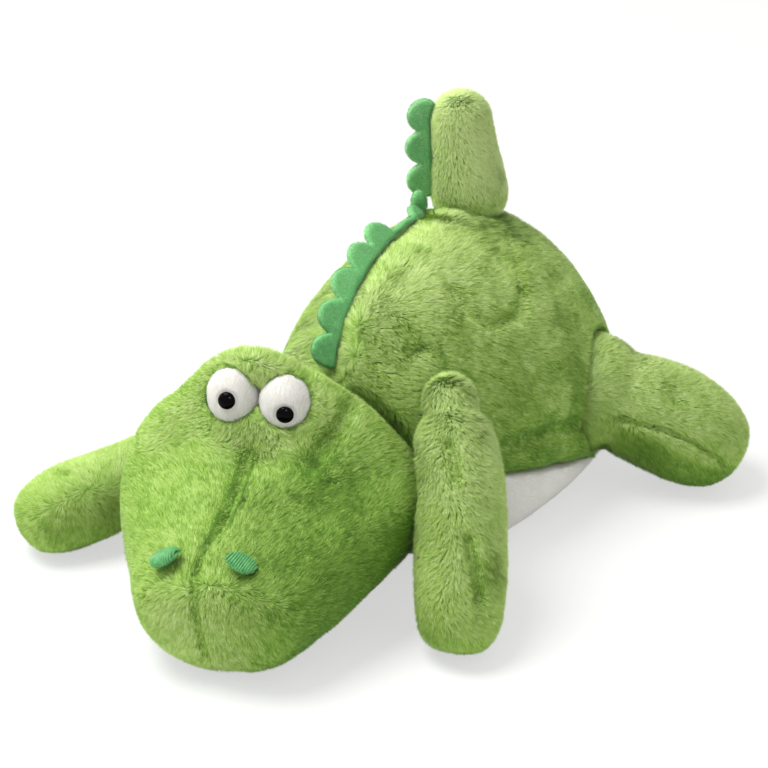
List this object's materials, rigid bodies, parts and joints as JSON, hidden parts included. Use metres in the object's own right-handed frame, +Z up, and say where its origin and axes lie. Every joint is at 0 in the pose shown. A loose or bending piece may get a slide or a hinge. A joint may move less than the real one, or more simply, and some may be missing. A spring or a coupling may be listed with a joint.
{
  "type": "plush crocodile",
  "caption": "Stuffed crocodile toy of long-pile plush lying on its belly, with a broad snout, bulging eyes, a scalloped spine trim, an upright tail, and a head and limbs that swing at seams.",
  "frame": {"origin": "on the floor under the middle of the belly", "axes": "+Z up, the toy faces -Y with its tail at +Y, its own left side at +X"},
  "size_m": [0.436, 0.5603, 0.2967],
  "materials": {
    "green_plush": "long-pile plush",
    "white_plush": "short-pile plush",
    "trim_plush": "short-pile plush",
    "nostril_thread": "satin stitch",
    "eye_plastic": "gloss",
    "washer_plastic": "moulded"
  },
  "bodies": {
    "torso": {"torso": "green_plush", "belly_panel": "white_plush", "back_trim": "trim_plush"},
    "head": {"head": "green_plush", "left_eyeball": "white_plush", "right_eyeball": "white_plush", "left_pupil": "eye_plastic", "right_pupil": "eye_plastic", "left_eye_washer": "washer_plastic", "right_eye_washer": "washer_plastic", "left_nostril": "nostril_thread", "right_nostril": "nostril_thread"},
    "left_arm": {"left_arm": "green_plush"},
    "right_arm": {"right_arm": "green_plush"},
    "left_hind_leg": {"left_hind_leg": "green_plush"},
    "right_hind_leg": {"right_hind_leg": "green_plush"},
    "tail": {"tail": "green_plush", "tail_trim": "trim_plush"}
  },
  "joints": [
    {"name": "neck_nod", "type": "hinge", "parent": "torso", "child": "head", "pos_m": [-0.03, -0.15, 0.09], "axis": [-0.9666, -0.2418, -0.0856], "range_deg": [-12, 9], "stiffness_Nm_per_rad": 2},
    {"name": "left_shoulder_swing", "type": "hinge", "parent": "torso", "child": "left_arm", "pos_m": [0.0885, -0.136, 0.1425], "axis": [0, 0, 1], "range_deg": [0, 36], "stiffness_Nm_per_rad": 0.12},
    {"name": "right_shoulder_swing", "type": "hinge", "parent": "torso", "child": "right_arm", "pos_m": [-0.088, -0.126, 0.066], "axis": [0, 0, -1], "range_deg": [0, 36], "stiffness_Nm_per_rad": 0.12},
    {"name": "left_hip_swing", "type": "hinge", "parent": "torso", "child": "left_hind_leg", "pos_m": [0.112, 0.046, 0.074], "axis": [0, 0, 1], "range_deg": [-20, 20], "stiffness_Nm_per_rad": 0.3},
    {"name": "right_hip_swing", "type": "hinge", "parent": "torso", "child": "right_hind_leg", "pos_m": [-0.074, 0.092, 0.07], "axis": [0, 0, -1], "range_deg": [-20, 20], "stiffness_Nm_per_rad": 0.3},
    {"name": "tail_tip_back", "type": "hinge", "parent": "torso", "child": "tail", "pos_m": [0.006, 0.044, 0.2165], "axis": [-1, 0, 0], "range_deg": [0, 20], "stiffness_Nm_per_rad": 0.25}
  ]
}
